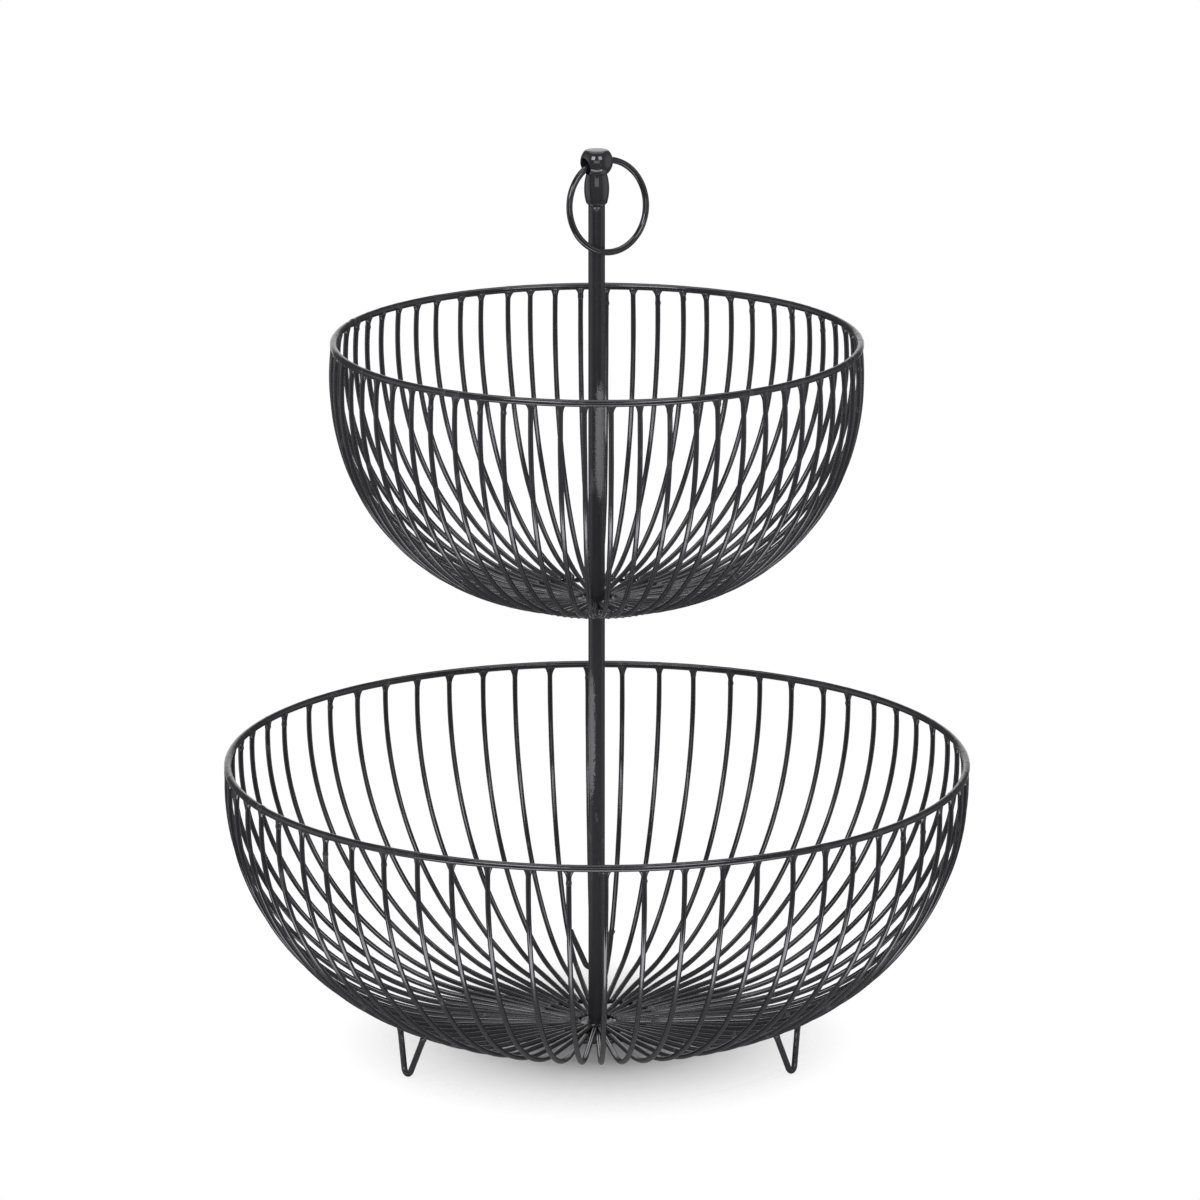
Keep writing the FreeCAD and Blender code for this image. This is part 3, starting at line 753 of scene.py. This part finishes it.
def foot(node, material):
    """Hairpin foot: a wire along two legs and the bend between them, with a braze lump at each tip.

    The legs are tangents from the tips to the bend's circle. The wire's thickness is blunt at the
    tips and swells by a bell curve beside them. The whole hairpin leans in by the splay.
    """
    setting = wires()
    thin = setting.foot_wire / 2
    bend = setting.foot_bend
    lean = setting.foot_splay
    bearing = math.atan2(middle(node, 1), middle(node, 0))
    rise = (high(node, 2) - FOOT_SINK * thin) / math.cos(lean)
    spread = (setting.foot_radius - rise * math.sin(lean)) * math.tan(TURN / setting.ribs)
    slope = math.atan2(spread, rise - bend) - math.asin(bend / math.hypot(spread, rise - bend))
    corner = np.array([bend * math.cos(slope), bend - bend * math.sin(slope)])
    leg = corner + np.linspace(0, 1, LEG_STEPS)[:, None] ** 0.8 * (np.array([spread, rise]) - corner)
    turn = arc((0, bend), bend, -slope, slope - math.pi, BEND_STEPS)
    line = np.concatenate([leg[::-1], turn[1:-1], leg * [-1, 1]])
    course = np.gradient(line, axis=0)
    course /= np.linalg.norm(course, axis=1, keepdims=True)
    walked = np.concatenate([[0], np.cumsum(np.linalg.norm(np.diff(line, axis=0), axis=1))])
    tip = np.minimum(walked, walked[-1] - walked)[:, None]
    lump = bell(tip, FOOT_LUMP)
    blunt = np.clip(0.45 + tip / FOOT_TIP, 0, 1)
    thick = thin * (1 + FOOT_SWELL * lump) * blunt
    section = around(FOOT_SIDES)[None, :]
    side = line[:, :1] - course[:, 1:] * thick * np.cos(section)
    up = line[:, 1:] + course[:, :1] * thick * np.cos(section)
    out = thick * np.sin(section)
    level = setting.foot_radius - up * math.sin(lean) + out * math.cos(lean)
    height = thin + up * math.cos(lean) + out * math.sin(lean)
    grid = turned(level, side, height, bearing)[None]
    thing = skin(node + "_wire", grid, caps=True, braze=np.broadcast_to(lump, side.shape))
    dress(thing, material, STAND, node)


def pole(node, material):
    """Round bar: a straight profile with broken edges, carried round the axis."""
    radius = high(node, 0)
    bottom, top = low(node, 2), high(node, 2)
    shaft = np.linspace(bottom + POLE_EDGE, top - POLE_EDGE, SHAFT_STEPS)
    height = np.concatenate([[bottom], shaft, [top]])
    width = np.concatenate([[radius - POLE_EDGE], np.full_like(shaft, radius), [radius - POLE_EDGE]])
    grid = lathe_grid(np.stack([width, height], axis=-1), POLE_SIDES)
    thing = skin(node + "_bar", grid, caps=True)
    dress(thing, material, STAND, node)


def bore_grid(ball):
    """Cutter for the bore: a bar along the hinge's axis that flares where it leaves the ball.

    Its radius is the least distance of the CAD finial's points from that axis. The flare is the square
    of the way past its start, both measured in ball radii.
    """
    reach, flare_start, flare_run = 1.3, 0.72, 0.2
    axis = np.array(HINGE["axis"])
    hinge = np.array(HINGE["pos_m"])
    radius = np.linalg.norm(np.cross(cad_points("finial") - hinge, axis), axis=1).min()
    side = np.cross(axis, UP)
    along = np.linspace(-reach, reach, BORE_STEPS)[:, None]
    flare = BORE_FLARE * np.clip((abs(along) - flare_start) / flare_run, 0, None) ** 2
    angle = around(BORE_SIDES)[None, :]
    width = (radius + flare)[..., None]
    spoke = np.cos(angle)[..., None] * side + np.sin(angle)[..., None] * UP
    return (hinge + along[..., None] * ball * axis + width * spoke)[None]


def cut_out(thing, cutter):
    """Take a cutter's shape out of a piece and remove the cutter."""
    cut = thing.modifiers.new("bore", "BOOLEAN")
    cut.operation = "DIFFERENCE"
    cut.solver = "EXACT"
    cut.object = cutter
    bpy.context.view_layer.update()
    solid = thing.evaluated_get(bpy.context.evaluated_depsgraph_get())
    mesh = bpy.data.meshes.new_from_object(solid)
    thing.modifiers.clear()
    thing.data = mesh
    bpy.data.objects.remove(cutter)


def finial(material):
    """Finial: a turned profile of lip, barrel and ball, with a bore cut across it for the ring.

    The barrel is an arc over the chord from the collar's edge to the neck, and the ball an arc about a
    centre that puts its flat at the top of the CAD finial.
    """
    size = top_sizes()
    base, top = low("finial", 2), high("finial", 2)
    soft = size.soft_edge
    edge = np.array([size.collar_edge, base + size.collar_lip])
    centre = top - math.sqrt(size.ball ** 2 - size.flat ** 2)
    shoulder = np.array([size.neck, centre - math.sqrt(size.ball ** 2 - size.neck ** 2)])
    chord = shoulder - edge
    across = np.array([-chord[1], chord[0]]) / np.linalg.norm(chord)
    pivot = (edge + shoulder) / 2 + across * math.sqrt(size.collar_bulge ** 2 - chord @ chord / 4)
    angles = [math.atan2(*(corner - pivot)[::-1]) for corner in (edge, shoulder)]
    barrel = arc(pivot, size.collar_bulge, *angles, BARREL_STEPS)
    start = math.asin((shoulder[1] - centre) / size.ball)
    stop = math.asin((top - centre) / size.ball) - soft / size.ball
    sphere = arc((0, centre), size.ball, start, stop, BALL_STEPS)
    lip = arc(edge - [soft, 0], soft, -math.pi / 3, 0, LIP_STEPS)
    under = np.array([[high("upper_pole", 0), base]])
    crown = np.array([[size.flat - 0.7 * soft, top - 0.1 * soft], [size.flat - 1.6 * soft, top]])
    profile = np.concatenate([under, lip[:-1], barrel, sphere[1:], crown])
    thing = skin("finial_turning", lathe_grid(profile, FINIAL_SIDES), caps=True)
    cut_out(thing, skin("bore_cutter", bore_grid(size.ball), caps=True))
    thing.data.set_sharp_from_angle(angle=math.radians(38))
    dress(thing, material, STAND, "finial")


def ring(material):
    """Carrying ring: a wire circle in the plane of the CAD ring, its thickness uneven by two waves."""
    points = cad_points(RING)
    centre = (points.max(axis=0) + points.min(axis=0)) / 2
    thin = wires().ring_wire / 2
    plane = np.linalg.svd(points - centre, full_matrices=False)[2]
    far = np.linalg.norm(points - centre, axis=1).max() - thin
    along = around(RING_STEPS)[:, None, None]
    section = around(RING_SIDES)[None, :, None]
    wave = 1 + SLOW_WAVE * np.sin(5 * along + 1) + FAST_WAVE * np.sin(13 * along)
    thick = (thin + wires().coat) * wave
    spoke = np.cos(along) * plane[0] + np.sin(along) * plane[1]
    place = centre + (far + thick * np.cos(section)) * spoke + thick * np.sin(section) * plane[2]
    thing = skin("ring_wire", place[None], ring=True)
    dress(thing, material, RING, RING)


# Stage


def floor():
    """Pale square floor that fades into the white surroundings round the basket.

    In gloss it is darkened towards black, a painted shadow under the basket that the paint reflects, and
    it fades further out, past the feet, where the paint then shows the white table and the lamp under
    it.
    """
    half = stage().floor_half
    corners = [(-half, -half, 0), (half, -half, 0), (half, half, 0), (-half, half, 0)]
    mesh = bpy.data.meshes.new("floor")
    mesh.from_pydata(corners, [], [(0, 1, 2, 3)])
    thing = bpy.data.objects.new("floor", mesh)
    bpy.context.scene.collection.objects.link(thing)
    material, shade = new_material("floor_paper")
    place = shade.add("ShaderNodeTexCoord", output="Object")
    away = shade.add("ShaderNodeVectorMath", {"operation": "LENGTH"}, {0: place}, output="Value")
    gloss = shade.add("ShaderNodeLightPath", output="Is Glossy Ray")
    # Painted shadow: what gloss sees of the floor is darkened towards black
    tone = shade.blend(gloss * FLOOR_PAINTED_SHADOW_IN_GLOSS, colour(stage().floor_tone), BLACK)
    paper = shade.add("ShaderNodeBsdfDiffuse", {}, {"Color": tone})
    clear = shade.add("ShaderNodeBsdfTransparent")
    fade = shade.ramp(away, *FLOOR_FADE) * (1 - gloss) + shade.ramp(away, *FLOOR_FADE_IN_GLOSS) * gloss
    surface = shade.add("ShaderNodeMixShader", {}, {"Fac": fade, 1: paper, 2: clear})
    shade.add("ShaderNodeOutputMaterial", {}, {"Surface": surface})
    mesh.materials.append(material)


def surroundings():
    """White for the camera, a dim room for the rest, and white panels and table that gloss shows."""
    setting = stage()
    world = bpy.data.worlds.new("studio")
    world.use_nodes = True
    world.node_tree.nodes.clear()
    shade = Shade(world.node_tree)
    seen, gloss, through = (
        shade.add("ShaderNodeLightPath", output=kind)
        for kind in ("Is Camera Ray", "Is Glossy Ray", "Is Transmission Ray")
    )
    x, y, z = shade.axes("Generated")
    backdrop = shade.ramp(y, *BACKDROP)
    left = shade.ramp(0 - x, *SIDE_PANELS) * LEFT_STRENGTH
    right = shade.ramp(x, *SIDE_PANELS) * RIGHT_STRENGTH
    table = shade.ramp(0 - z, *TABLE) * TABLE_STRENGTH
    panels = shade.maths("MINIMUM", backdrop + (left + right) + table, 1)
    in_gloss = setting.dim + panels * (1 - setting.dim)
    dark = (1 - gloss) * setting.room + gloss * in_gloss
    strength = shade.maths("MAXIMUM", shade.maths("MAXIMUM", seen, through), dark)
    light = shade.add("ShaderNodeBackground", {}, {"Color": WHITE, "Strength": strength})
    shade.add("ShaderNodeOutputWorld", {}, {"Surface": light})
    bpy.context.scene.world = world


def lamp(name, place, aim, wide, tall, power):
    """Soft box that looks at a point."""
    light = bpy.data.lights.new(name, "AREA")
    light.shape = "RECTANGLE"
    light.size = wide
    light.size_y = tall
    light.energy = power
    thing = bpy.data.objects.new(name, light)
    thing.location = place
    thing.rotation_euler = (Vector(aim) - Vector(place)).to_track_quat("-Z", "Y").to_euler()
    bpy.context.scene.collection.objects.link(thing)


def viewpoint():
    """Camera on a level circle about the axis, turned towards the axis and down by its pitch."""
    setting = stage()
    turn = setting.azimuth
    camera = bpy.data.objects.new("camera", bpy.data.cameras.new("camera"))
    camera.location = (
        -setting.distance * math.sin(turn), -setting.distance * math.cos(turn), setting.height
    )
    camera.rotation_euler = (math.pi / 2 - setting.pitch, 0, -turn)
    camera.data.lens = setting.lens
    camera.data.sensor_width = SENSOR_WIDTH
    camera.data.shift_x = setting.shift
    bpy.context.scene.collection.objects.link(camera)
    bpy.context.scene.camera = camera


# Operators


class BASKET_OT_rims(bpy.types.Operator):
    """Make the rims of both bowls"""

    bl_idname = "basket.rims"
    bl_label = "Rims"

    def execute(self, context):
        material = painted_iron("rim_paint", gloss=0.12)
        for tier in TIERS:
            rim(Bowl(tier), material)
        return {"FINISHED"}


class BASKET_OT_ribs(bpy.types.Operator):
    """Make the long and short ribs of both bowls"""

    bl_idname = "basket.ribs"
    bl_label = "Ribs"

    def execute(self, context):
        for tier in TIERS:
            # The upper ribs' paint is lifted paler: a painted sheen standing in for the bright floor
            # they reflect
            material = painted_iron(tier + "_rib_paint", lift=RIB_PAINTED_SHEEN_LIFT[tier])
            bowl = Bowl(tier)
            ribs(bowl, "long", 0, bowl.long_end - handwork().run_in, material)
            ribs(bowl, "short", 1, bowl.short_end, material)
        return {"FINISHED"}


class BASKET_OT_hubs(bpy.types.Operator):
    """Make the hoops and the braze round the pole in both bowls"""

    bl_idname = "basket.hubs"
    bl_label = "Hoops and hubs"

    def execute(self, context):
        hub_paint = painted_iron("hub_paint", gloss=0.25, bare=1.6, worn="braze")
        hoop_paint = painted_iron("hoop_paint", bare=0.5)
        # The hub plates are painted much darker: painted shade in the recesses between the ribs' inner
        # ends
        plate_paint = painted_iron("plate_paint", gloss=0.4, lift=-0.6)
        for tier in TIERS:
            bowl = Bowl(tier)
            hoop(bowl, hoop_paint)
            hub(bowl, hub_paint)
            repaint(tier + "_hub_plate", plate_paint)
        return {"FINISHED"}


class BASKET_OT_feet(bpy.types.Operator):
    """Make the three hairpin feet"""

    bl_idname = "basket.feet"
    bl_label = "Feet"

    def execute(self, context):
        material = painted_iron("foot_paint")
        for side in ("back", "left", "right"):
            foot("foot_" + side, material)
        return {"FINISHED"}


class BASKET_OT_pole(bpy.types.Operator):
    """Make both lengths of the pole and finish the screw and studs"""

    bl_idname = "basket.pole"
    bl_label = "Pole"

    def execute(self, context):
        for tier in TIERS:
            material = painted_iron(tier + "_pole_paint", gloss=0.3, lift=-0.3, patch=PATCHES[tier])
            pole(tier + "_pole", material)
        steel = zinc_steel("zinc_steel")
        for node in ("base_screw", "pole_stud", "finial_stud"):
            repaint(node, steel)
        return {"FINISHED"}


class BASKET_OT_finial(bpy.types.Operator):
    """Make the finial and its carrying ring"""

    bl_idname = "basket.finial"
    bl_label = "Finial and ring"

    def execute(self, context):
        finial(painted_iron("finial_paint", gloss=0.06, lift=0.4))
        ring(painted_iron("ring_paint"))
        return {"FINISHED"}


class BASKET_OT_stage(bpy.types.Operator):
    """Set up floor, surroundings, lamps and camera"""

    bl_idname = "basket.stage"
    bl_label = "Stage"

    def execute(self, context):
        floor()
        surroundings()
        for row in LAMPS:
            lamp(*row)
        viewpoint()
        context.scene.view_settings.view_transform = "Standard"
        return {"FINISHED"}


class BASKET_PT_panel(bpy.types.Panel):
    """Steps that dress the basket"""

    bl_idname = "BASKET_PT_panel"
    bl_label = "Tiered Wire Basket"
    bl_space_type = "VIEW_3D"
    bl_region_type = "UI"
    bl_category = "Basket"

    def draw(self, context):
        for step in STEPS:
            self.layout.operator(step.bl_idname)
        for group in GROUPS:
            settings = getattr(context.scene, group)
            for name in settings.__annotations__:
                self.layout.prop(settings, name)


GROUPS = {
    "basket_wires": BasketWires,
    "basket_top": BasketTop,
    "basket_handwork": BasketHandwork,
    "basket_finish": BasketFinish,
    "basket_stage": BasketStage,
}
STEPS = (
    BASKET_OT_rims,
    BASKET_OT_ribs,
    BASKET_OT_hubs,
    BASKET_OT_feet,
    BASKET_OT_pole,
    BASKET_OT_finial,
    BASKET_OT_stage,
)
CLASSES = (*GROUPS.values(), *STEPS, BASKET_PT_panel)


def register():
    """Register the classes and give the scene its settings."""
    for entry in CLASSES:
        bpy.utils.register_class(entry)
    for name, group in GROUPS.items():
        setattr(bpy.types.Scene, name, PointerProperty(type=group))


def unregister():
    """Take the settings and the classes away again."""
    for name in GROUPS:
        delattr(bpy.types.Scene, name)
    for entry in reversed(CLASSES):
        bpy.utils.unregister_class(entry)


def main():
    """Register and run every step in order."""
    register()
    for step in STEPS:
        group, name = step.bl_idname.split(".")
        getattr(getattr(bpy.ops, group), name)()


if __name__ == "__main__":
    main()
